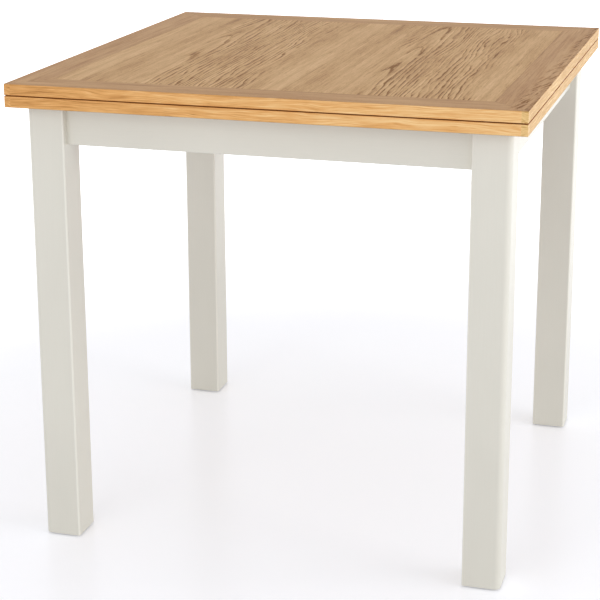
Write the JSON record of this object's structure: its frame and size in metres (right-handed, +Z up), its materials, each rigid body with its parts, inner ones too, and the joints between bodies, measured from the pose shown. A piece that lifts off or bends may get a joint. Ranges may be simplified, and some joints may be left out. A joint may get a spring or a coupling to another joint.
{
  "type": "swivel extending table",
  "caption": "Square dining table on painted legs, with a hinged oak-veneered top that swivels and folds open to twice its length.",
  "frame": {"origin": "on the floor, under the middle of the closed top", "axes": "+X right along the front edge, +Y back towards the hinged edge, +Z up"},
  "size_m": [0.81, 0.81, 0.76],
  "materials": {
    "painted_wood": "satin stone paint on hardwood",
    "beech": "planed beech, uncoated",
    "zinc_steel": "bright zinc plate",
    "nylon": "natural nylon",
    "glide_plastic": "moulded",
    "felt": "pressed wool felt",
    "core_board": "raw fibre board",
    "oak_lipping": "solid oak, clear satin lacquer",
    "oak_field": "crown-cut oak veneer, matt lacquer",
    "oak_border": "oak veneer, matt lacquer",
    "balancing_veneer": "plain veneer, sealed",
    "hinge_brass": "polished, lacquered"
  },
  "bodies": {
    "frame": {"apron_back": "painted_wood", "apron_dowels": "beech", "apron_front": "painted_wood", "apron_left": "painted_wood", "apron_right": "painted_wood", "corner_block_back_left": "beech", "corner_block_back_right": "beech", "corner_block_front_left": "beech", "corner_block_front_right": "beech", "corner_block_screws": "zinc_steel", "foot_glides": "glide_plastic", "hanger_bolt_nuts": "zinc_steel", "hanger_bolt_washers": "zinc_steel", "hanger_bolts": "zinc_steel", "leg_back_left": "painted_wood", "leg_back_right": "painted_wood", "leg_front_left": "painted_wood", "leg_front_right": "painted_wood", "pivot_bush": "nylon", "pivot_rail": "beech", "pivot_spacer": "nylon", "rail_cleat_back": "beech", "rail_cleat_front": "beech", "rail_cleat_screws": "zinc_steel", "slide_pads": "felt", "stop_block": "beech", "stop_block_screws": "zinc_steel"},
    "lower_leaf": {"lower_balancer": "balancing_veneer", "lower_core": "core_board", "lower_hinge_pins": "hinge_brass", "lower_hinge_plates": "hinge_brass", "lower_hinge_screws": "hinge_brass", "lower_inner_border": "oak_border", "lower_inner_field": "oak_field", "lower_lipping_back": "oak_lipping", "lower_lipping_front": "oak_lipping", "lower_lipping_left": "oak_lipping", "lower_lipping_right": "oak_lipping", "swivel_plate": "zinc_steel", "swivel_plate_screws": "zinc_steel", "pivot_washer": "zinc_steel", "pivot_lock_nut": "zinc_steel", "stop_pin": "zinc_steel"},
    "fold_links": {"hinge_links": "hinge_brass"},
    "upper_leaf": {"upper_core": "core_board", "upper_face_border": "oak_border", "upper_face_field": "oak_field", "upper_hinge_pins": "hinge_brass", "upper_hinge_plates": "hinge_brass", "upper_hinge_screws": "hinge_brass", "upper_inner_border": "oak_border", "upper_inner_field": "oak_field", "upper_lipping_back": "oak_lipping", "upper_lipping_front": "oak_lipping", "upper_lipping_left": "oak_lipping", "upper_lipping_right": "oak_lipping"}
  },
  "joints": [
    {"name": "top_swivel", "type": "hinge", "parent": "frame", "child": "lower_leaf", "pos_m": [0.20275, 0.20275, 0.723], "axis": [0, 0, 1], "range_deg": [0, 90]},
    {"name": "link_fold", "type": "hinge", "parent": "lower_leaf", "child": "fold_links", "pos_m": [0, 0.402, 0.738], "axis": [-1, 0, 0], "range_deg": [0, 90]},
    {"name": "leaf_fold", "type": "hinge", "parent": "fold_links", "child": "upper_leaf", "pos_m": [0, 0.402, 0.745], "axis": [-1, 0, 0], "range_deg": [0, 90]}
  ]
}
